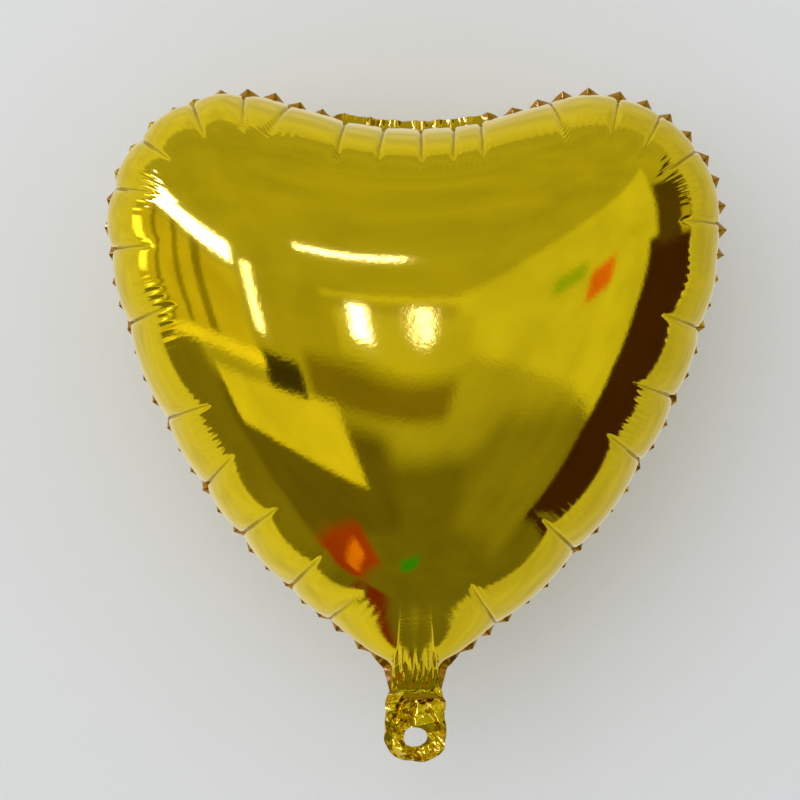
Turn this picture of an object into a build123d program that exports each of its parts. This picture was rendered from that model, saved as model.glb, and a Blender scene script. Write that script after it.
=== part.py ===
"""Heart-shaped foil balloon, inflated, with its filling tail and its self-closing valve.

Two metallised film sheets are heat-sealed round a heart outline and carry on downwards as a
flat tail. A flat tube of clear film, the valve, runs from the hole in the tail, through the neck,
and ends as two loose flaps inside the heart, where the gas presses them shut.

Frame: +Z up, +X across the heart, the front face looks along -Y, and the seam lies in the plane
y = 0. The origin is the centre of the hole in the tail. All sizes are in millimetres.

The real film is about 0.04 mm thick. Every film here is thicker, so that it stays a sound solid.
"""

from build123d import *

import os
from math import atan2, cos, hypot, radians, sin, sqrt

# ---------------------------------------------------------------- driving dimensions
FLANGE_WIDTH = 5.0  # sealed margin outside the seam
LOBE_RADIUS = 75.0  # seam outline: the two round lobes
LOBE_X = 104.0
LOBE_Z = 303.0
CLEFT_Z = 360.0  # lowest point of the seam between the lobes
FLANK_RADIUS = 355.0  # long curve from a lobe down to the tip
TIP_RADIUS = 12.0
TIP_Z = 38.0  # where the heart closes above the neck

DOME_DEPTH = 90.0  # front pole to seam plane
DOME_FULLNESS = 2.3  # 2 is an ellipse, more is fuller
HEART_CENTRE_Z = 228.0  # height of the two poles
POLE_HALF_WIDTH = 161.0  # the oval that the rings turn into at the pole, before it shrinks
POLE_HALF_HEIGHT = 147.0
POLE_SHARE = 0.9  # how completely they turn into it
RING_ANGLES = (0, 9, 20, 33, 47, 61, 74, 85)  # degrees round the dome's profile
SEAM_STEPS = (3, 9, 8, 3)  # ring points on the half cleft, a lobe, a flank and the half tip

DOME_WALL = 0.5  # the dome's foil
FOIL = 0.4  # one layer of foil in the tail and neck
FILM = 0.15  # one layer of clear valve film
PRINT = 0.1  # heat-proof print between the valve films
CORE = FILM + PRINT / 2  # half the gap between the two foil layers

FOLD_Z = 22.0  # the tail folds here
FOLD_GAP_BELOW = 0.6  # free length between the fold line and the tail
FOLD_GAP_ABOVE = 1.2
NECK_HALF_WIDTH = 17.0
NECK_TOP_Z = 52.0

TAIL_HALF_WIDTH = 18.0
TAIL_BOTTOM_Z = -14.2
TAIL_CORNER_RADIUS = 15.0
TAIL_SEAL_WIDTH = 4.0
HOLE_RADIUS = 7.0

VALVE_MARGIN = 1.0  # between the valve's sides and the tail's edge seal
VALVE_SLOT_GAP = 0.3  # side gap between the valve and the neck seals
VALVE_PIVOT_Z = 48.0  # the flaps open from here
VALVE_PIVOT_GAP = 0.4  # free length of film on each side of that line
VALVE_TOP_Z = 120.0
VALVE_LIP_RADIUS = 6.0
PRINT_HALF_WIDTH = 8.0

SEAM_OVERLAP = 1.2  # how far the margin reaches in under the dome's wall

# ---------------------------------------------------------------- sizes worked out from those
RIM_Y = CORE + FOIL
NECK_BOTTOM_Z = FOLD_Z + FOLD_GAP_ABOVE
TAIL_TOP_Z = FOLD_Z - FOLD_GAP_BELOW
VALVE_HALF_WIDTH = TAIL_HALF_WIDTH - TAIL_SEAL_WIDTH - VALVE_MARGIN
VALVE_NECK_TOP_Z = VALVE_PIVOT_Z - VALVE_PIVOT_GAP
VALVE_SLOT_HALF_WIDTH = VALVE_HALF_WIDTH + VALVE_SLOT_GAP
BOTTOM_CENTRE = (Align.CENTER, Align.MIN)
TOP_CENTRE = (Align.CENTER, Align.MAX)


# ---------------------------------------------------------------- outline of the heart
def towards(start, end, distance):
    """The point at a distance from start, on the line to end."""
    dx, dz = end[0] - start[0], end[1] - start[1]
    share = distance / hypot(dx, dz)
    return (start[0] + dx * share, start[1] + dz * share)


def circle_crossing(centre_a, radius_a, centre_b, radius_b):
    """The left-hand one of the two points where two circles cross."""
    dx, dz = centre_b[0] - centre_a[0], centre_b[1] - centre_a[1]
    gap = hypot(dx, dz)
    along = (radius_a**2 - radius_b**2 + gap**2) / (2 * gap)
    aside = sqrt(radius_a**2 - along**2)
    foot = (centre_a[0] + along * dx / gap, centre_a[1] + along * dz / gap)
    both = [(foot[0] + s * aside * dz / gap, foot[1] - s * aside * dx / gap) for s in (1, -1)]
    return min(both)


def half_heart():
    """Draws the right half of the seam from the cleft down to the tip, as four tangent arcs."""
    lobe = (LOBE_X, LOBE_Z)
    tip = (0.0, TIP_Z + TIP_RADIUS)
    rise = CLEFT_Z - LOBE_Z
    cleft_radius = (LOBE_X**2 + rise**2 - LOBE_RADIUS**2) / (2 * (LOBE_RADIUS - rise))
    cleft = (0.0, CLEFT_Z + cleft_radius)
    flank = circle_crossing(lobe, FLANK_RADIUS - LOBE_RADIUS, tip, FLANK_RADIUS - TIP_RADIUS)
    lobe_start = towards(lobe, cleft, LOBE_RADIUS)
    lobe_end = towards(flank, lobe, FLANK_RADIUS)
    tip_start = towards(flank, tip, FLANK_RADIUS)
    return (
        RadiusArc((0.0, CLEFT_Z), lobe_start, -cleft_radius),
        RadiusArc(lobe_start, lobe_end, LOBE_RADIUS),
        RadiusArc(lobe_end, tip_start, FLANK_RADIUS),
        RadiusArc(tip_start, (0.0, TIP_Z), TIP_RADIUS),
    )


def seam_loop():
    """Points right round the seam, clockwise from the cleft."""
    with BuildLine():
        arcs = half_heart()
    right = [arc @ (step / count) for arc, count in zip(arcs, SEAM_STEPS) for step in range(count)]
    left = [Vector(-point.X, point.Y) for point in reversed(right[1:])]
    return [*right, arcs[-1] @ 1, *left]


SEAM_POINTS = seam_loop()


# ---------------------------------------------------------------- the inflated dome
def ring_sketch(angle, wall):
    """The area inside one ring of the dome, wall inside its outer surface, on the ring's own plane.

    The rings follow the seam at the rim and turn smoothly into an oval at the pole.
    """
    rho = cos(radians(angle)) ** (2 / DOME_FULLNESS)
    height = RIM_Y + (DOME_DEPTH - RIM_Y - wall) * sin(radians(angle))
    share = POLE_SHARE * (1 - rho**2)
    points = []
    for seam_point in SEAM_POINTS:
        x, z = seam_point.X, seam_point.Y - HEART_CENTRE_Z
        direction = atan2(z, x)
        inset = 1 - wall / hypot(x, z)
        ring_x = (1 - share) * x * inset + share * POLE_HALF_WIDTH * cos(direction)
        ring_z = (1 - share) * z * inset + share * POLE_HALF_HEIGHT * sin(direction)
        points.append((rho * ring_x, HEART_CENTRE_Z + rho * ring_z))
    with BuildSketch(Plane.XZ.offset(height)) as sketch:
        with BuildLine():
            Spline(*points, periodic=True)
        make_face()
    return sketch.sketch


def heart_sketch(growth):
    """The area inside the seam, grown by a margin, or shrunk if that is negative."""
    with BuildSketch(Plane.XZ) as sketch:
        with BuildLine():
            half_heart()
            mirror(about=Plane.YZ)
        make_face()
        offset(amount=growth, kind=Kind.ARC)
    return sketch.sketch


def margin_sketch(slot_half_width):
    """The flat margin outside the dome and down both sides of the neck.

    The neck is open in the middle by the slot, or closed right across if that is zero.
    """
    neck_height = NECK_TOP_Z - NECK_BOTTOM_Z
    with BuildSketch(Plane.XZ) as sketch:
        with Locations((0, NECK_BOTTOM_Z)):
            Rectangle(2 * NECK_HALF_WIDTH, neck_height, align=BOTTOM_CENTRE)
        add(heart_sketch(FLANGE_WIDTH))
        add(heart_sketch(-SEAM_OVERLAP), mode=Mode.SUBTRACT)
        if slot_half_width:
            with Locations((0, NECK_BOTTOM_Z)):
                Rectangle(2 * slot_half_width, neck_height, align=BOTTOM_CENTRE, mode=Mode.SUBTRACT)
    return sketch.sketch


# The front sheet: the dome's thin shell, and its flat margin with the apron at the neck.
with BuildPart() as front_panel:
    loft([ring_sketch(angle, 0) for angle in RING_ANGLES])
    loft([ring_sketch(angle, DOME_WALL) for angle in RING_ANGLES], mode=Mode.SUBTRACT)
    extrude(margin_sketch(0).moved(Location((0, -CORE, 0))), amount=FOIL)

# The back sheet is the front sheet's mirror image.
with BuildPart() as back_panel:
    mirror(front_panel.part, about=Plane.XZ)

# The heat-sealed layer that joins the two margins, open at the neck where the valve comes through.
with BuildPart() as seam_weld:
    extrude(margin_sketch(VALVE_SLOT_HALF_WIDTH), amount=CORE, both=True)


# ---------------------------------------------------------------- the tail
def tail_outline(margin):
    """The tail's outline, or a smaller one that margin in from its sides and bottom."""
    half_width = TAIL_HALF_WIDTH - margin
    bottom = TAIL_BOTTOM_Z + margin
    with BuildSketch(Plane.XZ, mode=Mode.PRIVATE) as outline:
        with Locations((0, TAIL_TOP_Z)):
            Rectangle(2 * half_width, TAIL_TOP_Z - bottom, align=TOP_CENTRE)
        fillet(outline.vertices().group_by(Axis.Y)[0], TAIL_CORNER_RADIUS - margin)
    return outline.sketch


def tail_layer(side, margin, inner, thickness):
    """One layer of the tail with the hole punched through it.

    Side is 1 for the front and -1 for the back. Inner is the layer's distance from the mid-plane.
    """
    outline = tail_outline(margin).moved(Location((0, -side * inner, 0)))
    with BuildPart() as layer:
        extrude(outline, amount=side * thickness)
        Cylinder(HOLE_RADIUS, 2 * RIM_Y, rotation=(90, 0, 0), mode=Mode.SUBTRACT)
    return layer


tail_front_foil = tail_layer(1, 0, CORE, FOIL)
tail_back_foil = tail_layer(-1, 0, CORE, FOIL)

# The weld that joins the two foil layers along the tail's sides and round its bottom.
with BuildPart() as tail_edge_seal:
    extrude(tail_outline(0), amount=CORE, both=True)
    extrude(tail_outline(TAIL_SEAL_WIDTH), amount=CORE, both=True, mode=Mode.SUBTRACT)

# The valve's outer end lies in the tail and takes the filling nozzle at the hole.
valve_inlet_front_film = tail_layer(1, TAIL_SEAL_WIDTH + VALVE_MARGIN, PRINT / 2, FILM)
valve_inlet_back_film = tail_layer(-1, TAIL_SEAL_WIDTH + VALVE_MARGIN, PRINT / 2, FILM)


# ---------------------------------------------------------------- the valve
def film_strip(side, bottom, top):
    """A straight length of one valve film. Side is 1 for the front film and -1 for the back one."""
    with BuildPart() as strip:
        with BuildSketch(Plane.XZ.offset(side * PRINT / 2)):
            with Locations((0, bottom)):
                Rectangle(2 * VALVE_HALF_WIDTH, top - bottom, align=BOTTOM_CENTRE)
        extrude(amount=side * FILM)
    return strip


def flap_film(side):
    """The film's inner end, a loose flap that gas pressure holds against its partner."""
    with BuildPart() as film:
        add(film_strip(side, VALVE_PIVOT_Z + VALVE_PIVOT_GAP, VALVE_TOP_Z))
        lip = film.edges().filter_by(Axis.Y).group_by(Axis.Z)[-1]
        fillet(lip, VALVE_LIP_RADIUS)
    return film


valve_neck_front_film = film_strip(1, NECK_BOTTOM_Z, VALVE_NECK_TOP_Z)
valve_neck_back_film = film_strip(-1, NECK_BOTTOM_Z, VALVE_NECK_TOP_Z)
valve_front_flap = flap_film(1)
valve_back_flap = flap_film(-1)

# The print that keeps the two films from welding together when the neck is heat-sealed.
with BuildPart() as valve_release_print:
    with BuildSketch(Plane.XZ):
        with Locations((0, NECK_BOTTOM_Z)):
            Rectangle(2 * PRINT_HALF_WIDTH, VALVE_NECK_TOP_Z - NECK_BOTTOM_Z, align=BOTTOM_CENTRE)
    extrude(amount=PRINT / 2, both=True)


# ---------------------------------------------------------------- one STEP file for each piece
PIECES = {
    "front_panel": front_panel,
    "back_panel": back_panel,
    "seam_weld": seam_weld,
    "tail_front_foil": tail_front_foil,
    "tail_back_foil": tail_back_foil,
    "tail_edge_seal": tail_edge_seal,
    "valve_inlet_front_film": valve_inlet_front_film,
    "valve_inlet_back_film": valve_inlet_back_film,
    "valve_neck_front_film": valve_neck_front_film,
    "valve_neck_back_film": valve_neck_back_film,
    "valve_release_print": valve_release_print,
    "valve_front_flap": valve_front_flap,
    "valve_back_flap": valve_back_flap,
}

os.makedirs("parts", exist_ok=True)
for label, piece in PIECES.items():
    piece.part.label = label
    export_step(piece.part, f"parts/{label}.step")
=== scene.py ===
"""Looks of the inflated heart-shaped foil balloon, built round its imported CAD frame.

The CAD's foil and film are plain stand-in solids, so every one of them gets a modelled piece here:
two mirror-bright domes with the creases and gathers that a flat sheet needs to become a dome, the
ruffled sealed flange, the crumpled tail with its hole, and the thin clear valve inside.

Lengths are in metres. Flat outlines are complex numbers: x is the real part, z the imaginary one.
"""

import math

import bpy
import numpy as np
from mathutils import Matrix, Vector


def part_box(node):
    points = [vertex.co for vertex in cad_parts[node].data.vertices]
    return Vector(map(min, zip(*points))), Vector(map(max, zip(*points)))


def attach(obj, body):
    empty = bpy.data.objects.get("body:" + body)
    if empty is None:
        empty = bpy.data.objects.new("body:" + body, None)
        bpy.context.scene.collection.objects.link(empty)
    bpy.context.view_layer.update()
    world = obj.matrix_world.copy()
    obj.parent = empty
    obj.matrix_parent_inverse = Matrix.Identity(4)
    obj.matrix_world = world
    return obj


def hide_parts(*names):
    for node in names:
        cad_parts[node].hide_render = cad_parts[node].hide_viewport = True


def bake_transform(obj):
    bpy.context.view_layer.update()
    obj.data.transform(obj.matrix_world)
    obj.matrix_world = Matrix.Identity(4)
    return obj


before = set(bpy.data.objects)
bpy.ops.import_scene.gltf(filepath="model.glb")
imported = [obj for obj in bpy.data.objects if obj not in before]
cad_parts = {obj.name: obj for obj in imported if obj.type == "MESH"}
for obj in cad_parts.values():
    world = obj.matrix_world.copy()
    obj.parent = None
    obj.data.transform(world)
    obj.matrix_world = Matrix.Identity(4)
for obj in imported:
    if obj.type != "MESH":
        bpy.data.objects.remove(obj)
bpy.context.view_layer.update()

MM = 0.001

# ---------------------------------------------------------------- sizes from the frame
PANEL_LOW, PANEL_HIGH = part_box("front_panel")
TAIL_LOW, TAIL_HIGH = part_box("tail_front_foil")
NECK_LOW, NECK_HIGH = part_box("valve_neck_front_film")
FLAP_LOW, FLAP_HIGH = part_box("valve_front_flap")
PRINT_LOW, PRINT_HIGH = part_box("valve_release_print")

HALF_WIDTH = PANEL_HIGH.x
TOP_Z = PANEL_HIGH.z
DEPTH = -PANEL_LOW.y
FOLD_Z = (TAIL_HIGH.z + PANEL_LOW.z) / 2
TAIL_HALF_WIDTH = TAIL_HIGH.x
TAIL_BOTTOM_Z = TAIL_LOW.z

# ---------------------------------------------------------------- the seam's outline
FLANGE_WIDTH = 5 * MM
LOBE_RADIUS = 75 * MM
LOBE = complex(HALF_WIDTH - FLANGE_WIDTH - LOBE_RADIUS, TOP_Z - FLANGE_WIDTH - LOBE_RADIUS)
CLEFT_Z = TOP_Z - 25 * MM
FLANK_RADIUS = 355 * MM
TIP = complex(0, 50 * MM)
TIP_RADIUS = 12 * MM
NECK_HALF_WIDTH = 14 * MM
NECK_FILLET = 12 * MM
NECK_BOTTOM_Z = PANEL_LOW.z + 0.5 * MM
NECK_CORNER = 1.5 * MM

# ---------------------------------------------------------------- the dome
POLE = complex(0, 228 * MM)
FULLNESS = 2.3  # 2 is an ellipse, more is fuller
BLUR = 0.22  # how fast the rings lose the heart's detail towards the pole
SHEET_GAP = 0.17 * MM  # each sheet's distance from the middle of the seam
COLUMNS = 1920  # round the rim
FINE_ROWS = 32
FINE_ANGLE = 40  # degrees round the profile, from the rim
ROW_CROWDING = 1.25  # 1 spaces the fine rows evenly, more crowds them at the rim
COARSE_ROWS = 24
LAST_ANGLE = 88.8  # the last row's angle, just short of the pole
STRETCH_ANGLE = 50  # from here up, the rings no longer reach out to the neck
NECK_FLAT_Z = 28 * MM  # the neck is flat below this
FULL_RELIEF_Z = 60 * MM  # the neck holds down the rim's bulges below this
TAPER = 24 * MM  # the dome thins out towards the neck over about this height
CONE_REACH = 72 * MM  # how the front ridge rises from the neck
CONE_POWER = 1.3
CONE_LOW_Z = 55 * MM  # round in cross-section below this, and the heart's own shape above the next
CONE_HIGH_Z = 105 * MM

# ---------------------------------------------------------------- creases, bulges and pleats
# Where the main creases cross the seam: distance from the cleft along the seam, in millimetres.
RIGHT_CREASES = (3, 22, 38, 81, 122, 149, 179, 225, 288, 331, 373, 438, 501)
LEFT_CREASES = (18, 41, 75, 103, 134, 171, 204, 240, 285, 345, 390, 425, 467, 497)
CREASE_REACH = (25, 32)  # millimetres from the seam, at random between these
CREASE_LEAN = 0.2  # the most that a crease leans to one side
CREASE_DEPTH = 2.2 * MM
CREASE_WIDTH = 0.7 * MM
# Painted shade: the dark middle of each crease is painted this wide.
CREASE_SHADE_WIDTH = 0.55 * MM  # the dark middle of a crease
FAN_HEIGHT = 0.10 * MM  # the little folds that fan out from a crease's inner end
FAN_PITCH = 3.2 * MM
BULGE_HEIGHT = 3.6 * MM  # the most that the foil bulges between two creases
BULGE_SHARE = 0.10  # and at most this share of the distance between them
GATHER_HEIGHT = 0.12 * MM
SWELL_HEIGHT = 0.25 * MM
PLEAT_HEIGHT = 0.55 * MM
PLEAT_PITCH = 5.1 * MM
FINE_PLEAT_PITCH = 3.1 * MM

# ---------------------------------------------------------------- the flange
FLANGE_ROWS = 5
TOOTH_WIDTH = (6, 9)  # millimetres from one fold of the zigzag to the next, at random between these
CRINKLE = 0.3 * MM  # how far the flange's outer edge wavers
# Stretches of the flange, in millimetres from the cleft, painted lighter as if they catch the light. The
# rest gets painted shade.
PAINTED_LIT_STRETCHES = ((-44, 42), (-205, -118), (246, 285), (378, 414))

# ---------------------------------------------------------------- the tail
TAIL_TOP_Z = PANEL_LOW.z + 4.2 * MM  # it laps over the neck a little
TAIL_TOP_HALF_WIDTH = 15.5 * MM
TAIL_CORNER = 14 * MM
TAIL_SEAL_WIDTH = 4 * MM
TAIL_PLEAT_HEIGHT = 0.3 * MM
TAIL_FOLD_HEIGHT = 1.0 * MM
CRUSHED_SPREAD = 20 * MM
HOLE_RADIUS = 7 * MM
HOLE_PROPORTION = 0.82  # its height over its width
HOLE_RAGGEDNESS = 0.55 * MM
TAIL_TURNS = 480
TAIL_RINGS = 56
TAIL_SEED = 21
TAIL_HEADING = np.linspace(-math.pi, math.pi, TAIL_TURNS, endpoint=False)

# ---------------------------------------------------------------- the valve
VALVE_HALF_WIDTH = NECK_HIGH.x - 0.6 * MM
INLET_MARGIN = 5 * MM  # from the tail's edge
LIP_RADIUS = 6 * MM
PRINT_CORNER = 2 * MM
FILM_LEVEL = 0.12 * MM
FILM_RIPPLE = 0.5 * MM


# ---------------------------------------------------------------- helpers
def smooth_step(low, high, value):
    """0 below low, 1 above high, and a smooth ramp between. Low may be the larger one."""
    share = np.clip((value - low) / (high - low), 0, 1)
    return share * share * (3 - 2 * share)


def triangle_wave(phase):
    """A zigzag between -1 and 1 that repeats at every whole number."""
    return 4 * np.abs(phase - np.floor(phase) - 0.5) - 1


def rim_noise(rng, lowest, highest):
    """Random waves round the rim with between lowest and highest periods, of unit strength."""
    spectrum = np.zeros(COLUMNS, complex)
    count = highest - lowest
    spectrum[lowest:highest] = rng.normal(size=count) + 1j * rng.normal(size=count)
    wave = np.fft.ifft(spectrum).real
    return wave / wave.std()


def swell(rng, x, z, wavelength):
    """Long smooth waves over the sheet, between about -1 and 1."""
    total = np.zeros(np.shape(x))
    for _ in range(7):
        heading, shift = rng.uniform(0, 2 * math.pi, 2)
        turns = (x * math.cos(heading) + z * math.sin(heading)) / (wavelength * rng.uniform(0.7, 1.5))
        total += np.cos(2 * math.pi * turns + shift)
    return total / 4


def crushed(rng, x, z, middle, spread, count, widest):
    """Crushed foil: straight folds at random places, each sharp along its crest."""
    total = np.zeros(np.shape(x))
    for _ in range(count):
        at_x, at_z = rng.uniform(-1, 1, 2) * spread
        heading = rng.uniform(0, math.pi)
        width = widest * rng.uniform(0.25, 1)
        length = width * rng.uniform(1.5, 4)
        aside, up = x - middle.real - at_x, z - middle.imag - at_z
        along = aside * math.cos(heading) + up * math.sin(heading)
        across = up * math.cos(heading) - aside * math.sin(heading)
        crest = np.maximum(1 - np.abs(across) / width, 0) * np.exp(-((along / length) ** 2))
        total += rng.choice((-0.45, 0.45)) * width * crest
    return total


def mesh_object(name, vertices, faces, seal_and_painted_shade=None):
    """A smooth-shaded mesh object. The seal attribute is 1 at vertices that the sealing bar pressed; on the
    foil's flange it also carries painted shade.
    """
    mesh = bpy.data.meshes.new(name)
    mesh.from_pydata(vertices.tolist(), [], faces)
    mesh.shade_smooth()
    if seal_and_painted_shade is not None:
        mesh.attributes.new("seal_and_painted_shade", "FLOAT", "POINT").data.foreach_set("value", seal_and_painted_shade)
    thing = bpy.data.objects.new(name, mesh)
    bpy.context.scene.collection.objects.link(thing)
    return thing


def strip_faces(upper, lower, closed, flip):
    """Quads between two rows of vertex numbers of the same length."""
    count = len(upper)
    faces = []
    for i in range(count if closed else count - 1):
        j = (i + 1) % count
        face = (upper[i], upper[j], lower[j], lower[i])
        faces.append(face[::-1] if flip else face)
    return faces


def halving_faces(fine, coarse, flip):
    """Triangles between a closed row and the next one, which has half as many vertices."""
    count = len(coarse)
    faces = []
    for i in range(count):
        j = (i + 1) % count
        a, b, c = fine[2 * i], fine[2 * i + 1], fine[(2 * i + 2) % (2 * count)]
        for face in ((a, b, coarse[i]), (b, coarse[j], coarse[i]), (b, c, coarse[j])):
            faces.append(face[::-1] if flip else face)
    return faces


# ---------------------------------------------------------------- the outline
def arc(centre, radius, start, end):
    """Points on a circle from the start angle to the end angle."""
    return centre + radius * np.exp(1j * np.linspace(start, end, 300))


def resample(points, count):
    """The closed curve through the points, resampled at even steps, and the curve's length."""
    points = np.append(points, points[0])
    walked = np.concatenate([[0], np.cumsum(np.abs(np.diff(points)))])
    steps = np.linspace(0, walked[-1], count, endpoint=False)
    even = np.interp(steps, walked, points.real) + 1j * np.interp(steps, walked, points.imag)
    return even, walked[-1]


def seam_outline(with_neck):
    """The seam, clockwise from the cleft: cleft, lobe and flank arcs, then the neck or a round tip."""
    rise = CLEFT_Z - LOBE.imag
    cleft_radius = (LOBE.real**2 + rise**2 - LOBE_RADIUS**2) / (2 * (LOBE_RADIUS - rise))
    cleft = complex(0, CLEFT_Z + cleft_radius)
    gap = TIP - LOBE
    to_lobe, to_tip = FLANK_RADIUS - LOBE_RADIUS, FLANK_RADIUS - TIP_RADIUS
    along = (to_lobe**2 - to_tip**2 + abs(gap) ** 2) / (2 * abs(gap))
    aside = math.sqrt(to_lobe**2 - along**2)
    flank = LOBE + gap / abs(gap) * complex(along, -aside)
    fillet_x = NECK_HALF_WIDTH + NECK_FILLET
    drop = math.sqrt((FLANK_RADIUS + NECK_FILLET) ** 2 - (fillet_x - flank.real) ** 2)
    fillet = complex(fillet_x, flank.imag - drop)
    corner = complex(NECK_HALF_WIDTH - NECK_CORNER, NECK_BOTTOM_Z + NECK_CORNER)
    below = fillet if with_neck else flank + (TIP - flank) * 2
    arcs = [
        arc(cleft, cleft_radius, -math.pi / 2, np.angle(LOBE - cleft)),
        arc(LOBE, LOBE_RADIUS, np.angle(cleft - LOBE), np.angle(LOBE - flank)),
        arc(flank, FLANK_RADIUS, np.angle(LOBE - flank), np.angle(below - flank)),
    ]
    if with_neck:
        arcs.append(arc(fillet, NECK_FILLET, np.angle(flank - fillet), math.pi))
        arcs.append(arc(corner, NECK_CORNER, 0, -math.pi / 2))
    else:
        arcs.append(arc(TIP, TIP_RADIUS, np.angle(TIP - flank), -math.pi / 2))
    right = np.concatenate(arcs)
    loop = np.concatenate([right, -right[:0:-1].conj()])
    return resample(loop[np.abs(np.diff(loop, append=loop[0])) > 1e-9], COLUMNS)


SEAM, SEAM_LENGTH = seam_outline(True)
HEART, _ = seam_outline(False)
STEP = SEAM_LENGTH / COLUMNS
WALK = np.arange(COLUMNS) * STEP
SIGNED = np.where(WALK < SEAM_LENGTH / 2, WALK, WALK - SEAM_LENGTH)  # left of the cleft is minus
FROM_CLEFT = np.abs(SIGNED)
tangent = np.roll(SEAM, -1) - np.roll(SEAM, 1)
ALONG = tangent / np.abs(tangent)
OUTWARD = 1j * ALONG


# ---------------------------------------------------------------- the smooth dome
def profile_angles():
    """Row angles from the rim to just short of the pole, closest together at the rim."""
    fine = FINE_ANGLE * np.linspace(0, 1, FINE_ROWS) ** ROW_CROWDING
    coarse = np.linspace(FINE_ANGLE, LAST_ANGLE, COARSE_ROWS + 1)[1:]
    return np.radians(np.concatenate([fine, coarse]))


ANGLES = profile_angles()


def heart_ring(angle):
    """The neckless heart's contour at an angle round its profile: the seam at 0, the pole at 90 degrees.

    The contour shrinks, and loses its fine detail first, so the heart turns into an oval.
    """
    waves = np.fft.fft(HEART - POLE)
    periods = np.fft.fftfreq(COLUMNS, 1 / COLUMNS)
    shrink = math.cos(angle) ** (2 / FULLNESS)
    keep = np.exp(-BLUR * (1 - shrink) * np.maximum(periods**2 - 1, 0))
    return shrink * np.fft.ifft(waves * keep)


def ring_radii(heading):
    """Radius from the pole of every row's contour, at each heading."""
    rows = []
    for angle in ANGLES:
        ring = heart_ring(angle)
        order = np.argsort(np.angle(ring))
        rows.append(np.interp(heading, np.angle(ring)[order], np.abs(ring)[order], period=2 * math.pi))
    return np.array(rows)


def smooth_dome():
    """Grid of points on the smooth front dome, rows by columns by xyz, and its outward normals.

    Every column runs straight from the seam to the pole. The depth follows the heart's own rings,
    thins out towards the neck, and goes over into a round cone that ends in the flat neck.
    """
    heading = np.angle(SEAM - POLE)
    rings = ring_radii(heading)
    stretch = np.abs(SEAM - POLE) / rings[0]
    radius = rings * stretch ** smooth_step(math.radians(STRETCH_ANGLE), 0, ANGLES)[:, None]
    height = np.sin(ANGLES)
    share = np.array([np.interp(r, ring[::-1], height[::-1]) for r, ring in zip(radius.T, rings.T)]).T
    flat = POLE + radius * np.exp(1j * heading)
    x, z = flat.real, flat.imag
    taper = 1 - np.exp(-np.maximum(z - NECK_FLAT_Z, 0) / TAPER)
    taper /= 1 - math.exp(-(POLE.imag - NECK_FLAT_Z) / TAPER)
    right = SEAM[: COLUMNS // 2 + 1]
    half_width = np.interp(z, right.imag[::-1], right.real[::-1])
    rounding = np.sqrt(np.maximum(1 - (x / np.maximum(half_width, MM)) ** 2, 0))
    cone = 1 - np.exp(-((np.maximum(z - NECK_FLAT_Z, 0) / CONE_REACH) ** CONE_POWER))
    in_cone = smooth_step(CONE_HIGH_Z, CONE_LOW_Z, z)
    depth = (DEPTH - SHEET_GAP) * (share * taper * (1 - in_cone) + rounding * cone * in_cone)
    depth[0] = 0
    points = np.stack([x, -SHEET_GAP - depth, z], axis=2)
    across = np.roll(points, -1, axis=1) - np.roll(points, 1, axis=1)
    normals = np.cross(np.gradient(points, axis=0), across)
    normals /= np.linalg.norm(normals, axis=2, keepdims=True) + 1e-12
    return points, normals


POINTS, NORMALS = smooth_dome()


def along_rim(walked, values):
    """Values given for every column, read off at distances along the seam."""
    if np.iscomplexobj(values):
        return along_rim(walked, values.real) + 1j * along_rim(walked, values.imag)
    return np.interp(walked, WALK, values, period=SEAM_LENGTH)


def perpendiculars():
    """Where every grid point's nearest seam point lies, seen from the front, and how far off it is."""
    flat = POINTS[:, :, 0] + 1j * POINTS[:, :, 2]
    foot = np.broadcast_to(WALK, flat.shape)
    for _ in range(6):
        nearest = along_rim(foot, SEAM)
        foot = foot + ((flat - nearest) * np.conj(along_rim(foot, ALONG))).real
    return foot % SEAM_LENGTH, np.abs(flat - along_rim(foot, SEAM))


FOOT, INSET = perpendiculars()
ALONG_FOIL = np.hypot(INSET, POINTS[:, :, 1])  # from the seam, along the foil, roughly


# ---------------------------------------------------------------- the foil's relief
# 1 on the stretch of rim, from left of the cleft to the right-hand lobe, where the foil bulges least
# and the flange stands up behind it. Elsewhere the bulges hide all but slivers of the flange.
FLANGE_SHOWS = smooth_step(-118 * MM, -98 * MM, SIGNED) * smooth_step(265 * MM, 240 * MM, SIGNED)


def crease_columns():
    """Column number of each main crease, in order round the seam."""
    right = [distance * MM for distance in RIGHT_CREASES]
    left = [SEAM_LENGTH - distance * MM for distance in reversed(LEFT_CREASES)]
    return [round(distance / STEP) % COLUMNS for distance in right + left]


CREASES = crease_columns()


def bulges():
    """How far the foil bulges between neighbouring creases, with a sharp valley at each crease."""
    height = np.zeros(COLUMNS)
    for start, end in zip(CREASES, CREASES[1:] + [CREASES[0] + COLUMNS]):
        columns = np.arange(start, end)
        share = 2 * (columns - start) / (end - start) - 1
        highest = min(BULGE_HEIGHT, BULGE_SHARE * (end - start) * STEP)
        height[columns % COLUMNS] = highest * (1 - share**2) ** 0.6
    return height * (1 - 0.6 * FLANGE_SHOWS) * smooth_step(NECK_FLAT_Z, FULL_RELIEF_Z, SEAM.imag)


BULGES = bulges()


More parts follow.
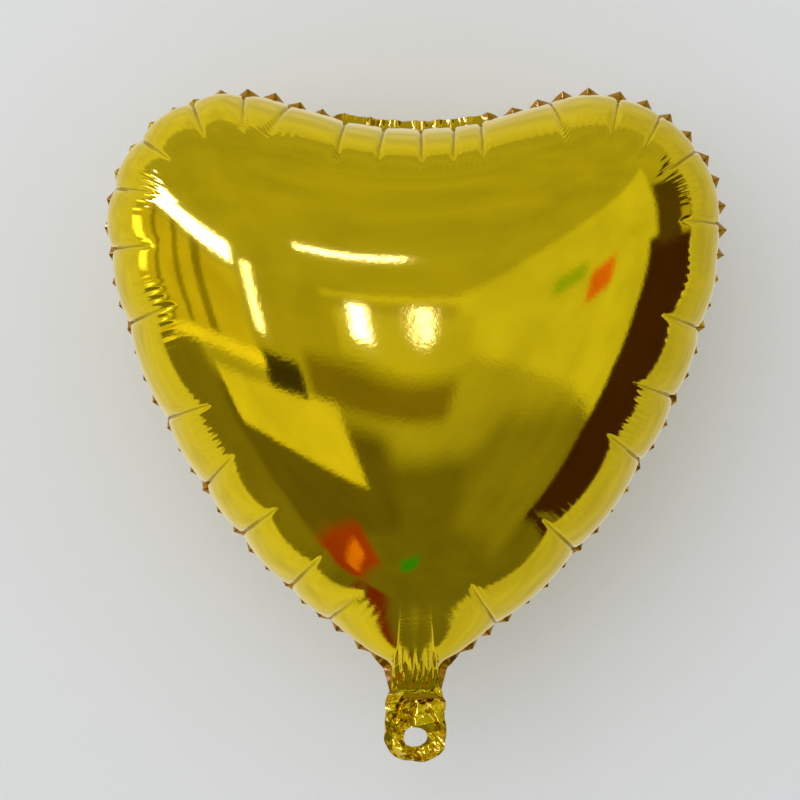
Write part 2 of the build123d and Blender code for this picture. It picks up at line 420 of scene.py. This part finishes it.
def crease(rng, column):
    """One main crease: a narrow cut at the rim that widens into a leaf and runs out into the dome.

    Returns its depth, and how much painted shade each point gets down the crease's dark middle, from 0 to 1.
    """
    reach = rng.uniform(*CREASE_REACH) * MM
    lean = rng.uniform(-CREASE_LEAN, CREASE_LEAN)
    offset = FOOT - WALK[column]
    aside = np.abs((offset + SEAM_LENGTH / 2) % SEAM_LENGTH - SEAM_LENGTH / 2 - lean * INSET)
    run = np.clip(INSET / reach, 0, 1)
    width = CREASE_WIDTH + 1.3 * MM * run**2
    depth = CREASE_DEPTH - 0.6 * MM * run
    cut = depth * (1 - run) ** 0.5 * np.exp(-((aside / width) ** 1.4))
    fan = smooth_step(12 * MM, 18 * MM, INSET) * smooth_step(32 * MM, 24 * MM, INSET)
    folds = FAN_HEIGHT * np.cos(2 * math.pi * aside / FAN_PITCH) * np.exp(-((aside / (6 * MM)) ** 2))
    # Painted shade down the crease's middle, fading out towards its inner end.
    painted_crease_shade = np.exp(-((aside / CREASE_SHADE_WIDTH) ** 2)) * smooth_step(1, 0.75, run)
    return cut + fan * folds * rng.uniform(0, 1.2), painted_crease_shade


def neck_pleats(rng, x, z):
    """Upright pleats that pinch the neck together."""
    bend = 0.5 * np.sin(z / (8 * MM) + rng.uniform(0, 6))
    pleats = triangle_wave(x / PLEAT_PITCH + bend) + 0.6 * triangle_wave(x / FINE_PLEAT_PITCH - bend)
    in_neck = smooth_step(27 * MM, 33 * MM, z) * smooth_step(54 * MM, 42 * MM, z)
    inside = smooth_step(NECK_HALF_WIDTH, NECK_HALF_WIDTH - 3 * MM, np.abs(x))
    return PLEAT_HEIGHT * pleats * in_neck * inside


def rim_relief(rng):
    """How far the foil stands off the smooth dome at every point, and how much painted crease shade it gets.
    """
    x, z = POINTS[:, :, 0], POINTS[:, :, 2]
    roll = (1 - np.exp(-ALONG_FOIL / (5 * MM))) * np.exp(-((INSET / (15 * MM)) ** 1.5))
    relief = along_rim(FOOT, BULGES) * roll
    crease_shade = np.zeros(x.shape)
    for column in CREASES:
        cut, painted_crease_shade = crease(rng, column)
        relief = relief - cut
        crease_shade = np.maximum(crease_shade, painted_crease_shade)
    patchy = np.clip(0.6 + 0.7 * rim_noise(rng, 3, 20), 0, 1.8)
    patchy = patchy * smooth_step(40 * MM, 90 * MM, FROM_CLEFT)
    gathers = rim_noise(rng, 190, 260) * patchy * smooth_step(50 * MM, 85 * MM, SEAM.imag)
    ring = smooth_step(10 * MM, 18 * MM, INSET) * smooth_step(29 * MM, 21 * MM, INSET)
    relief = relief + GATHER_HEIGHT * along_rim(FOOT, gathers) * ring
    relief = relief + SWELL_HEIGHT * swell(rng, x, z, 90 * MM)
    above_neck = smooth_step(NECK_FLAT_Z + 2 * MM, 50 * MM, z)
    return relief * above_neck + neck_pleats(rng, x, z), crease_shade * above_neck


def seam_line():
    """The seam after inflation, pulled in a little at every crease."""
    shift = (0.3 * BULGES - 1.2 * MM) * smooth_step(NECK_FLAT_Z, FULL_RELIEF_Z, SEAM.imag)
    return POINTS[0] + np.stack([shift * OUTWARD.real, 0 * shift, shift * OUTWARD.imag], 1)


RIM = seam_line()


def ruffle(rng):
    """How far the flange leans back out of the seam's plane, as a zigzag round the rim, in radians."""
    knots, values, back = [0.0], [0.2], False
    while knots[-1] < SEAM_LENGTH - 12 * MM:
        knots.append(knots[-1] + rng.uniform(*TOOTH_WIDTH) * MM)
        back = not back
        shows = np.interp(knots[-1], WALK, FLANGE_SHOWS)
        upright = rng.uniform(0, 0.2) * shows + rng.uniform(0.2, 0.7) * (1 - shows)
        values.append(rng.uniform(1.2, 1.5) if back else upright)
    lean = np.arccos(np.interp(WALK, knots, np.cos(values), period=SEAM_LENGTH))
    lean *= 0.3 + 0.7 * smooth_step(35 * MM, 60 * MM, FROM_CLEFT)
    return lean * smooth_step(30 * MM, FULL_RELIEF_Z, SEAM.imag)


RUFFLE = ruffle(np.random.default_rng(5))


def flange_painted_shade():
    """Painted shade on the flange, for every column: 1 where it is painted dark amber as if turned from the
    light, and less on the stretches painted as lit.
    """
    flange_shade = np.ones(COLUMNS)
    for start, end in PAINTED_LIT_STRETCHES:
        begun = smooth_step(start - 3, start + 3, SIGNED / MM)
        going_on = smooth_step(end + 3, end - 3, SIGNED / MM)
        flange_shade = flange_shade * (1 - 0.6 * begun * going_on)
    return flange_shade


FLANGE_PAINTED_SHADE = flange_painted_shade()


def flange_rows(level):
    """Rows of points from the seam outwards to the flange's edge, at a level behind its middle."""
    width = FLANGE_WIDTH * (0.2 + 0.9 * smooth_step(NECK_BOTTOM_Z, NECK_BOTTOM_Z + 22 * MM, SEAM.imag))
    width = width + 0.8 * MM * FLANGE_SHOWS + 0.8 * MM * smooth_step(60 * MM, 45 * MM, FROM_CLEFT)
    crinkle = CRINKLE * rim_noise(np.random.default_rng(8), 70, 220)
    crinkle = crinkle * smooth_step(NECK_FLAT_Z, 50 * MM, SEAM.imag)
    crinkle = crinkle * (1 + 2.5 * smooth_step(55 * MM, 35 * MM, FROM_CLEFT))
    rows = []
    for share in np.linspace(0, 1, FLANGE_ROWS + 1):
        out = width * share * np.cos(RUFFLE)
        aside = level + width * share * np.sin(RUFFLE) + crinkle * share
        rows.append(np.stack([RIM[:, 0] + out * OUTWARD.real, aside, RIM[:, 2] + out * OUTWARD.imag], 1))
    return rows


def panel_faces(rows, pole, flip):
    """Faces between rows of vertex numbers that shrink towards the pole, and round the pole itself."""
    faces = []
    for upper, lower in zip(rows, rows[1:]):
        if len(upper) == len(lower):
            faces += strip_faces(upper, lower, True, flip)
        else:
            faces += halving_faces(upper, lower, flip)
    last = rows[-1]
    for i, j in zip(last, last[1:] + last[:1]):
        faces.append((i, pole, j) if flip else (i, j, pole))
    return faces


def foil_panel(name, side, seed):
    """One foil sheet: its dome and its flange. Side is -1 for the front sheet and 1 for the back one."""
    relief, crease_shade = rim_relief(np.random.default_rng(seed))
    grid = POINTS + NORMALS * relief[:, :, None]
    grid[:, :, 1] = -side * np.minimum(grid[:, :, 1], -SHEET_GAP)
    flange = flange_rows(side * SHEET_GAP)
    grid[0] = flange[0]
    steps = [1] * FINE_ROWS + [2] * (COARSE_ROWS // 3) + [4] * (COARSE_ROWS - COARSE_ROWS // 3)
    no_crease_shade = np.zeros(COLUMNS)
    # The flange's rows get no painted crease shade; each other layer carries its row of painted crease
    # shade.
    layers = [(row, no_crease_shade, 1) for row in flange[:0:-1]] + list(zip(grid, crease_shade, steps))
    vertices, rows, crease_shade_rows, total = [], [], [], 0
    for points, fold, step in layers:
        vertices.append(points[::step])
        crease_shade_rows.append(fold[::step])
        rows.append(list(range(total, total + len(points[::step]))))
        total += len(rows[-1])
    vertices.append(np.array([[POLE.real, grid[-1, :, 1].mean(), POLE.imag]]))
    seal_and_painted_shade = np.zeros(total + 1)
    # The flange's rows carry its painted shade, lighter on the painted lit stretches.
    seal_and_painted_shade[: COLUMNS * FLANGE_ROWS] = np.tile(FLANGE_PAINTED_SHADE, FLANGE_ROWS)
    panel = mesh_object(name, np.concatenate(vertices), panel_faces(rows, total, side > 0), seal_and_painted_shade)
    crease_shade_rows = np.append(np.concatenate(crease_shade_rows), 0)
    # The painted crease shade goes on as a vertex attribute.
    panel.data.attributes.new("crease_shade", "FLOAT", "POINT").data.foreach_set("value", crease_shade_rows)
    return panel


def seam_ribbon():
    """The weld between the two sheets' flanges, which shows as a thin line along their edge."""
    rows = flange_rows(0.0)
    rows = rows[1:] + [rows[-1] + 0.04 * (rows[-1] - rows[0])]
    numbers = np.arange(len(rows) * COLUMNS).reshape(len(rows), COLUMNS).tolist()
    faces = []
    for inner, outer in zip(numbers, numbers[1:]):
        faces += strip_faces(inner, outer, True, True)
    return mesh_object("seam_weld_ribbon", np.concatenate(rows), faces)


front = foil_panel("front_panel_foil", -1, 11)
back = foil_panel("back_panel_foil", 1, 12)
weld = seam_ribbon()


# ---------------------------------------------------------------- the tail's layers
def tail_outline(margin):
    """The tail's outline inset by a margin, as points on rays from the hole's centre."""
    half, low, high = TAIL_HALF_WIDTH - margin, TAIL_BOTTOM_Z + margin, TAIL_TOP_Z - margin
    radius = TAIL_CORNER - margin
    shoulder = complex(half - 0.5 * MM, FOLD_Z - 2 * MM)
    top = complex(TAIL_TOP_HALF_WIDTH - margin, high)
    sides = np.array([top, shoulder, complex(half, 2 * MM)])
    bottom = arc(complex(half - radius, low + radius), radius, 0, -math.pi / 2)
    right = np.concatenate([sides, bottom])
    edge = np.linspace(-1, 1, 40)[1:-1]
    brink = edge * top.real + 1j * (high + 0.5 * MM * np.sin(9 * edge) + 1.8 * MM * edge)
    loop, _ = resample(np.concatenate([brink, right, -right[::-1].conj()]), 4000)
    order = np.argsort(np.angle(loop))
    reach = np.interp(TAIL_HEADING, np.angle(loop)[order], np.abs(loop)[order], period=2 * math.pi)
    return reach * np.exp(1j * TAIL_HEADING)


def hole_outline(grow, seed):
    """The ragged edge of the hole, a little wider than high."""
    rng = np.random.default_rng(seed)
    ragged = sum(rng.uniform(-1, 1) / k * np.cos(k * TAIL_HEADING + rng.uniform(0, 6)) for k in range(2, 14))
    reach = HOLE_RADIUS + grow + HOLE_RAGGEDNESS * ragged
    return reach * (np.cos(TAIL_HEADING) + 1j * HOLE_PROPORTION * np.sin(TAIL_HEADING))


def tail_layer(name, inner, outer, level, seed):
    """One layer of the tail between two outlines, at a level in front of (-) or behind (+) its middle.

    All layers share the large crumples, and each has a few small ones of its own.
    """
    share = np.linspace(0, 1, TAIL_RINGS)[:, None]
    flat = inner[None, :] * (1 - share) + outer[None, :] * share
    x, z = flat.real, flat.imag
    common, own = np.random.default_rng(TAIL_SEED), np.random.default_rng(seed)
    fade = smooth_step(TAIL_TOP_Z - 1 * MM, TAIL_TOP_Z - 6 * MM, z)
    middle = complex(0, 4 * MM)
    height = crushed(common, x, z, middle, CRUSHED_SPREAD, 60, 7 * MM)
    height = height + crushed(own, x, z, middle, CRUSHED_SPREAD, 10, 2 * MM) / 5
    fold_line = FOLD_Z - 1 * MM + 0.15 * x + 0.8 * MM * np.sin(x / (4 * MM))
    fold = TAIL_FOLD_HEIGHT * np.exp(-np.abs(z - fold_line) / (1.6 * MM))
    pleats = TAIL_PLEAT_HEIGHT * triangle_wave(x / PLEAT_PITCH + 0.3)
    y = level * (1 + 0.8 * (1 - fade)) + (height + fold) * (0.1 + 0.9 * fade) + pleats * (1 - fade)
    slide = 0.5 * MM * swell(common, x, z, 11 * MM) * fade
    vertices = np.stack([x + slide, y, z + 0.6 * slide], 2).reshape(-1, 3)
    numbers = np.arange(vertices.shape[0]).reshape(TAIL_RINGS, TAIL_TURNS).tolist()
    faces = []
    for upper, lower in zip(numbers, numbers[1:]):
        faces += strip_faces(upper, lower, True, level > 0)
    from_edge = np.abs(tail_outline(0))[None, :] - np.abs(flat)
    pressed = 0.3 * smooth_step(TAIL_SEAL_WIDTH + 0.4 * MM, TAIL_SEAL_WIDTH - 0.4 * MM, from_edge) * fade
    return mesh_object(name, vertices, faces, pressed.ravel())


tail_edge = tail_outline(0)
tail_front = tail_layer("tail_front_sheet", hole_outline(0, 4), tail_edge, -0.35 * MM, 31)
tail_back = tail_layer("tail_back_sheet", hole_outline(0.3 * MM, 6), tail_edge, 0.35 * MM, 32)

weld_inner, weld_outer = tail_outline(TAIL_SEAL_WIDTH), tail_outline(-0.15 * MM)
tail_weld = tail_layer("tail_weld_band", weld_inner, weld_outer, 0.01 * MM, 33)

inlet_edge = tail_outline(INLET_MARGIN)
inlet_front = tail_layer("valve_inlet_front_sheet", hole_outline(0.5 * MM, 7), inlet_edge, -FILM_LEVEL, 34)
inlet_back = tail_layer("valve_inlet_back_sheet", hole_outline(0.8 * MM, 8), inlet_edge, FILM_LEVEL, 35)


# ---------------------------------------------------------------- the valve's films and print
def film_sheet(name, bottom, top, half_width, level, lip):
    """A length of valve film, lightly rippled, with its upper corners rounded by lip."""
    rows, columns = 60, 30
    up, across = np.mgrid[0 : 1 : rows * 1j, -1 : 1 : columns * 1j]
    z = bottom + (top - bottom) * up
    dropped = np.maximum(z - (top - lip), 0)
    width = half_width - lip + np.sqrt(np.maximum(lip**2 - dropped**2, 0)) if lip else half_width
    x = across * width
    loose = smooth_step(NECK_HIGH.z, NECK_HIGH.z + 25 * MM, z)
    ripple = FILM_RIPPLE * np.sin(z / (7 * MM) + x / (9 * MM)) * loose
    vertices = np.stack([x, level + ripple, z], 2).reshape(-1, 3)
    numbers = np.arange(rows * columns).reshape(rows, columns).tolist()
    faces = []
    for lower, upper in zip(numbers, numbers[1:]):
        faces += strip_faces(upper, lower, False, level > 0)
    return mesh_object(name, vertices, faces)


neck_span = (NECK_LOW.z, NECK_HIGH.z, VALVE_HALF_WIDTH)
neck_front = film_sheet("valve_neck_front_sheet", *neck_span, -FILM_LEVEL, 0)
neck_back = film_sheet("valve_neck_back_sheet", *neck_span, FILM_LEVEL, 0)

flap_span = (FLAP_LOW.z, FLAP_HIGH.z, VALVE_HALF_WIDTH)
flap_front = film_sheet("valve_front_flap_sheet", *flap_span, -FILM_LEVEL, LIP_RADIUS)
flap_back = film_sheet("valve_back_flap_sheet", *flap_span, FILM_LEVEL, LIP_RADIUS)

print_span = (PRINT_LOW.z, PRINT_HIGH.z, PRINT_HIGH.x)
release = film_sheet("release_print_patch", *print_span, 0.0, PRINT_CORNER)


# ---------------------------------------------------------------- node helpers
def add_node(tree, kind, sockets=None, **settings):
    """Adds a node, sets its settings, and fills its input sockets with values or links."""
    node = tree.nodes.new(kind)
    for key, value in settings.items():
        setattr(node, key, value)
    for key, value in (sockets or {}).items():
        if isinstance(value, bpy.types.NodeSocket):
            tree.links.new(value, node.inputs[key])
        else:
            node.inputs[key].default_value = value
    return node


def calculate(tree, operation, first, second=0.0, third=0.0):
    """The result of a math node."""
    return add_node(tree, "ShaderNodeMath", {0: first, 1: second, 2: third}, operation=operation).outputs[0]


def ramp(tree, value, low, high):
    """0 at low, 1 at high, smooth between."""
    sockets = {"Value": value, "From Min": low, "From Max": high}
    return add_node(tree, "ShaderNodeMapRange", sockets, interpolation_type="SMOOTHSTEP").outputs[0]


def band(tree, value, low, high, soft):
    """1 between low and high, fading to 0 over a soft edge."""
    rise = ramp(tree, value, low - soft, low + soft)
    fall = ramp(tree, value, high + soft, high - soft)
    return calculate(tree, "MULTIPLY", rise, fall)


def mixed(tree, share, first, second):
    """A colour between two others."""
    sockets = {"Factor": share, 6: first, 7: second}
    return add_node(tree, "ShaderNodeMix", sockets, data_type="RGBA").outputs[2]


def new_material(name):
    """An empty node material: its tree, and its output node."""
    material = bpy.data.materials.new(name)
    material.use_nodes = True
    material.node_tree.nodes.clear()
    return material, material.node_tree, material.node_tree.nodes.new("ShaderNodeOutputMaterial")


# ---------------------------------------------------------------- materials
GOLD = (0.70, 0.53, 0.006, 1)
# The seal's duller amber, which on the flange also stands in as painted shade.
SEAL_AMBER_AND_SHADE = (0.38, 0.19, 0.006, 1)
# Painted shade mixed into the middle of each crease.
PAINTED_CREASE_SHADE = (0.20, 0.14, 0.003, 1)


def foil_material():
    """Metallised film: a lemon-gold mirror; knurled, duller and amber where it is sealed, with painted shade
    on the flange away from its painted lit stretches, and painted dark shade down the middle of each crease.
    """
    material, tree, output = new_material("gold_foil")
    place = add_node(tree, "ShaderNodeTexCoord").outputs["Object"]
    seal_and_painted_shade = add_node(tree, "ShaderNodeAttribute", attribute_name="seal_and_painted_shade").outputs["Fac"]
    crease_shade = add_node(tree, "ShaderNodeAttribute", attribute_name="crease_shade").outputs["Fac"]
    grain = add_node(tree, "ShaderNodeTexNoise", {"Vector": place, "Scale": 420.0, "Detail": 3.0})
    sockets = {"Strength": 0.05, "Distance": 0.4 * MM, "Height": grain.outputs[0]}
    grained = add_node(tree, "ShaderNodeBump", sockets)
    knurl = add_node(tree, "ShaderNodeTexChecker", {"Vector": place, "Scale": 1100.0})
    sockets = {
        "Strength": calculate(tree, "MULTIPLY", seal_and_painted_shade, 0.25),
        "Distance": 0.2 * MM,
        "Height": knurl.outputs["Fac"],
        "Normal": grained.outputs[0],
    }
    pressed = add_node(tree, "ShaderNodeBump", sockets)
    sockets = {
        # The seal's amber and dullness; on the flange they also give painted shade, with less of it on the
        # painted lit stretches.
        "Base Color": mixed(tree, seal_and_painted_shade, GOLD, SEAL_AMBER_AND_SHADE),
        "Metallic": 1.0,
        "Roughness": calculate(tree, "MULTIPLY_ADD", seal_and_painted_shade, 0.12, 0.06),
        "Normal": pressed.outputs[0],
    }
    mirror = add_node(tree, "ShaderNodeBsdfPrincipled", sockets)
    # Painted shade: a dark matt colour mixed in down the middle of each crease.
    shade = add_node(tree, "ShaderNodeBsdfDiffuse", {"Color": PAINTED_CREASE_SHADE})
    sockets = {0: calculate(tree, "MULTIPLY", crease_shade, 0.65), 1: mirror.outputs[0], 2: shade.outputs[0]}
    shader = add_node(tree, "ShaderNodeMixShader", sockets)
    tree.links.new(shader.outputs[0], output.inputs["Surface"])
    return material


def weld_material():
    """The melted sealing layer, a dull pale amber line."""
    material, tree, output = new_material("weld")
    place = add_node(tree, "ShaderNodeTexCoord").outputs["Object"]
    grain = add_node(tree, "ShaderNodeTexNoise", {"Vector": place, "Scale": 700.0, "Detail": 2.0})
    colour = mixed(tree, grain.outputs[0], (0.40, 0.28, 0.03, 1), (0.75, 0.62, 0.22, 1))
    sockets = {"Base Color": colour, "Metallic": 0.3, "Roughness": 0.4}
    shader = add_node(tree, "ShaderNodeBsdfPrincipled", sockets)
    tree.links.new(shader.outputs[0], output.inputs["Surface"])
    return material


def film_material():
    """Clear valve film with a milky haze that varies a little."""
    material, tree, output = new_material("valve_film")
    place = add_node(tree, "ShaderNodeTexCoord").outputs["Object"]
    haze = add_node(tree, "ShaderNodeTexNoise", {"Vector": place, "Scale": 60.0, "Detail": 4.0})
    sockets = {
        "Base Color": (0.88, 0.91, 0.92, 1),
        "Roughness": 0.18,
        "Alpha": calculate(tree, "MULTIPLY_ADD", haze.outputs[0], 0.3, 0.25),
    }
    shader = add_node(tree, "ShaderNodeBsdfPrincipled", sockets)
    tree.links.new(shader.outputs[0], output.inputs["Surface"])
    return material


def print_material():
    """Matt blue heat-proof ink with a fine printed grain."""
    material, tree, output = new_material("release_print")
    place = add_node(tree, "ShaderNodeTexCoord").outputs["Object"]
    grain = add_node(tree, "ShaderNodeTexNoise", {"Vector": place, "Scale": 900.0, "Detail": 2.0})
    colour = mixed(tree, grain.outputs[0], (0.22, 0.36, 0.60, 1), (0.42, 0.58, 0.78, 1))
    shader = add_node(tree, "ShaderNodeBsdfPrincipled", {"Base Color": colour, "Roughness": 0.8})
    tree.links.new(shader.outputs[0], output.inputs["Surface"])
    return material


def plain_material(name, colour):
    """Matt paint for the wall and the floor. Seen from behind, it is clear."""
    material, tree, output = new_material(name)
    place = add_node(tree, "ShaderNodeTexCoord").outputs["Object"]
    mottle = add_node(tree, "ShaderNodeTexNoise", {"Vector": place, "Scale": 4.0, "Detail": 3.0})
    darker = tuple(0.97 * channel for channel in colour[:3]) + (1,)
    shade = mixed(tree, mottle.outputs[0], darker, colour)
    paint = add_node(tree, "ShaderNodeBsdfDiffuse", {"Color": shade})
    clear = add_node(tree, "ShaderNodeBsdfTransparent")
    behind = add_node(tree, "ShaderNodeNewGeometry").outputs["Backfacing"]
    shader = add_node(tree, "ShaderNodeMixShader", {0: behind, 1: paint.outputs[0], 2: clear.outputs[0]})
    tree.links.new(shader.outputs[0], output.inputs["Surface"])
    return material


FOIL = foil_material()
WELD = weld_material()
FILM = film_material()
INK = print_material()

PIECES = (
    # piece, CAD node, material, slot, body (None leaves the piece unattached, with its placement baked in)
    (front, "front_panel", FOIL, "gold_foil", "envelope"),
    (back, "back_panel", FOIL, "gold_foil", "envelope"),
    (weld, "seam_weld", WELD, "weld", "envelope"),
    (tail_front, "tail_front_foil", FOIL, "gold_foil", None),
    (tail_back, "tail_back_foil", FOIL, "gold_foil", None),
    (tail_weld, "tail_edge_seal", WELD, "weld", None),
    (inlet_front, "valve_inlet_front_film", FILM, "valve_film", None),
    (inlet_back, "valve_inlet_back_film", FILM, "valve_film", None),
    (neck_front, "valve_neck_front_film", FILM, "valve_film", "envelope"),
    (neck_back, "valve_neck_back_film", FILM, "valve_film", "envelope"),
    (release, "valve_release_print", INK, "release_print", "envelope"),
    (flap_front, "valve_front_flap", FILM, "valve_film", "valve_front"),
    (flap_back, "valve_back_flap", FILM, "valve_film", "valve_back"),
)

for piece, node, material, slot, body in PIECES:
    piece.data.materials.append(material)
    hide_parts(node)
    if body:
        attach(piece, body)
    else:
        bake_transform(piece)

# ---------------------------------------------------------------- stage
def stage_plane(name, corners, colour):
    """A plain pale plane that mirrors don't see, because the room below stands in for it there."""
    mesh = bpy.data.meshes.new(name)
    mesh.from_pydata(corners, [], [(0, 1, 2, 3)])
    plane = bpy.data.objects.new(name, mesh)
    bpy.context.scene.collection.objects.link(plane)
    mesh.materials.append(plain_material(name, colour))
    plane.visible_glossy = False


REACH = 4.0
WALL_Y = 0.13
FLOOR_Z = -0.9
wall_corners = [
    (-REACH, WALL_Y, FLOOR_Z),
    (REACH, WALL_Y, FLOOR_Z),
    (REACH, WALL_Y, REACH),
    (-REACH, WALL_Y, REACH),
]
floor_corners = [
    (-REACH, -REACH, FLOOR_Z),
    (REACH, -REACH, FLOOR_Z),
    (REACH, REACH, FLOOR_Z),
    (-REACH, REACH, FLOOR_Z),
]
stage_plane("stage_wall", wall_corners, (0.84, 0.86, 0.88, 1))
stage_plane("stage_floor", floor_corners, (0.78, 0.77, 0.75, 1))


def area_light(name, location, target, size, power, colour):
    """A soft square lamp that points at the target."""
    lamp = bpy.data.lights.new(name, "AREA")
    lamp.size = size
    lamp.energy = power
    lamp.color = colour
    holder = bpy.data.objects.new(name, lamp)
    holder.location = location
    holder.rotation_euler = (Vector(target) - Vector(location)).to_track_quat("-Z", "Y").to_euler()
    holder.visible_glossy = False
    bpy.context.scene.collection.objects.link(holder)


AIM = (0, 0, 0.2)
WHITE = (1.0, 1.0, 1.0)
area_light("stage_key", (-0.8, -2.2, 0.8), AIM, 2.0, 14, WHITE)
area_light("stage_back", (0.8, 1.6, 1.0), AIM, 1.2, 12, WHITE)

# The room that the foil mirrors. Degrees of azimuth from the camera (plus is to the right) and of
# elevation: left, right, low, high, how the low and the high edge lean, softness, colour.
WHITE_HOT = (9.0, 9.0, 200.0)  # so bright that even the gold mirror turns it white
ROOM = (
    # the floor, and a paler stretch of it
    (-100, 100, -91, -22, 0.0, 0.0, 5, (0.21, 0.20, 0.15)),
    (20, 62, -50, -20, -0.3, -0.3, 6, (0.30, 0.29, 0.23)),
    # things standing in the shade on the left
    (-100, -8, -48, -16, 0.0, 0.0, 4, (0.17, 0.15, 0.11)),
    (-98, -66, -60, -10, 0.0, 0.0, 3, (0.26, 0.24, 0.18)),
    # the right-hand wall, and the far wall with its lintel
    (5, 66, -13, 27, -0.45, 0.55, 1.5, (0.78, 0.78, 0.72)),
    (-38, 5, -7, 11, 0.0, 0.0, 2, (0.52, 0.50, 0.40)),
    (-13, 9, -3, 5.5, 0.0, 0.0, 0.8, (0.70, 0.69, 0.58)),
    (-16, 9, 8.5, 10, 0.0, 0.0, 0.5, (0.80, 0.79, 0.70)),
    (-24, 8, -13, -5, 0.0, 0.0, 2, (0.26, 0.22, 0.13)),
    # a pale table with a dark box on it
    (-62, -18, -28, -13.5, -0.15, 0.05, 1, (0.92, 0.88, 0.74)),
    (-39, -26, -13.5, -7.5, 0.0, 0.0, 0.7, (0.05, 0.04, 0.02)),
    # windows on the left with bars between them, and bright frames above and beside them
    (-98, -40, -10, 17, 0.05, -0.3, 1.5, (0.74, 0.66, 0.40)),
    (-79, -76, -9, 22, 0.0, -0.3, 1, (0.36, 0.32, 0.18)),
    (-67, -64, -9, 20, 0.0, -0.3, 1, (0.36, 0.32, 0.18)),
    (-57, -53, -9, 18, 0.0, -0.3, 1, (0.34, 0.30, 0.17)),
    (-92, -85, 0, 14, 0.0, 0.0, 1.5, (2.2, 2.2, 4.0)),
    (-84, -41, 18.6, 24.4, -0.33, -0.33, 0.8, WHITE_HOT),
    (-37.5, -35, -4, 13, 0.0, 0.0, 0.7, (4.5, 4.5, 80.0)),
    (-99, -38, -12, -9.5, 0.05, 0.05, 0.8, (1.2, 1.1, 0.8)),
    (-118, -98, -48, 36, 0.0, 0.0, 4, (0.32, 0.30, 0.23)),
    # the ceiling lamp and two far windows
    (-21, -0.3, 21.2, 22.9, -0.08, -0.08, 0.5, (6.0, 6.0, 140.0)),
    (-9.5, -5.9, 0.2, 7.2, 0.0, 0.0, 0.3, (7.0, 7.0, 180.0)),
    (0.5, 1.9, 1.6, 7.5, 0.0, 0.0, 0.3, (5.0, 5.0, 120.0)),
    # a dark curtain on the right with a small window over it and a gap of light at its far edge
    (62, 97, -44, 13, 0.0, 0.0, 1.5, (0.06, 0.022, 0.012)),
    (67, 97, 10, 34, 0.0, 0.0, 2, (0.10, 0.065, 0.03)),
    (84, 92, 11, 20, 0.0, 0.0, 1.5, (0.55, 0.50, 0.30)),
    (91.5, 94, -12, 8, 0.0, 0.0, 0.6, (1.1, 1.0, 0.5)),
    # a few coloured party things, two on the right-hand wall and the rest low down
    (38, 46, 4, 11, 0.3, 0.3, 1.5, (0.95, 0.22, 0.05)),
    (27, 36, 8, 12, 0.3, 0.3, 1.5, (0.42, 0.62, 0.05)),
    (-68, -30, -66, -47, 0.2, 0.2, 3, (0.42, 0.06, 0.02)),
    (-58, -38, -61, -54, 0.4, 0.4, 2, (0.95, 0.28, 0.06)),
    (-14, 2, -68, -60, 0.3, 0.3, 2, (0.04, 0.34, 0.04)),
    (-160, -70, -80, -70, 0.0, 0.0, 3, (0.22, 0.03, 0.01)),
)
CEILING = (0.54, 0.53, 0.48, 1)
WALL_BEHIND = (0.84, 0.83, 0.78, 1)
SHADED_WALL = (0.66, 0.65, 0.60, 1)
STUDIO = (0.72, 0.72, 0.72, 1)


def room_patch(tree, azimuth, elevation, left, right, low, high, low_lean, high_lean, soft):
    """1 in the directions of one patch of the room, fading to 0 over its soft edge."""
    aside = calculate(tree, "SUBTRACT", azimuth, (left + right) / 2)
    over = calculate(tree, "SUBTRACT", elevation, calculate(tree, "MULTIPLY", aside, low_lean))
    under = calculate(tree, "SUBTRACT", elevation, calculate(tree, "MULTIPLY", aside, high_lean))
    rise = ramp(tree, over, low - soft, low + soft)
    fall = ramp(tree, under, high + soft, high - soft)
    upright = calculate(tree, "MULTIPLY", rise, fall)
    across = band(tree, azimuth, left, right, soft)
    return calculate(tree, "MULTIPLY", across, upright)


def build_world():
    """Even studio light for everything matt, and a softly furnished room for mirrors only."""
    world = bpy.data.worlds.new("studio")
    bpy.context.scene.world = world
    world.use_nodes = True
    tree = world.node_tree
    tree.nodes.clear()
    direction = add_node(tree, "ShaderNodeTexCoord").outputs["Generated"]
    axes = add_node(tree, "ShaderNodeSeparateXYZ", {0: direction}).outputs
    backwards = calculate(tree, "MULTIPLY", axes["Y"], -1.0)
    azimuth = calculate(tree, "DEGREES", calculate(tree, "ARCTAN2", axes["X"], backwards))
    elevation = calculate(tree, "DEGREES", calculate(tree, "ARCSINE", axes["Z"]))
    wall = mixed(tree, ramp(tree, axes["X"], -0.3, 0.8), WALL_BEHIND, SHADED_WALL)
    colour = CEILING
    for *shape, shade in ROOM:
        colour = mixed(tree, room_patch(tree, azimuth, elevation, *shape), colour, shade + (1,))
    colour = mixed(tree, ramp(tree, axes["Y"], 0.02, 0.07), colour, wall)
    mottle = add_node(tree, "ShaderNodeTexNoise", {"Vector": direction, "Scale": 5.0, "Detail": 4.0})
    sockets = {"Value": mottle.outputs[0], "From Min": 0.3, "From Max": 0.7, "To Min": 0.88, "To Max": 1.1}
    strength = add_node(tree, "ShaderNodeMapRange", sockets)
    mirrored = add_node(tree, "ShaderNodeLightPath").outputs["Is Glossy Ray"]
    room = add_node(tree, "ShaderNodeBackground", {"Color": colour, "Strength": strength.outputs[0]})
    even = add_node(tree, "ShaderNodeBackground", {"Color": STUDIO, "Strength": 1.0})
    both = add_node(tree, "ShaderNodeMixShader", {0: mirrored, 1: even.outputs[0], 2: room.outputs[0]})
    output = add_node(tree, "ShaderNodeOutputWorld")
    tree.links.new(both.outputs[0], output.inputs["Surface"])
    world.cycles.sampling_method = "NONE"


build_world()

camera = bpy.data.objects.new("camera", bpy.data.cameras.new("camera"))
camera.data.lens = 114.3
camera.location = (-0.009, -1.5, 0.199)
camera.rotation_euler = (math.pi / 2, 0, 0)
bpy.context.scene.collection.objects.link(camera)
bpy.context.scene.camera = camera
bpy.context.scene.view_settings.view_transform = "Standard"
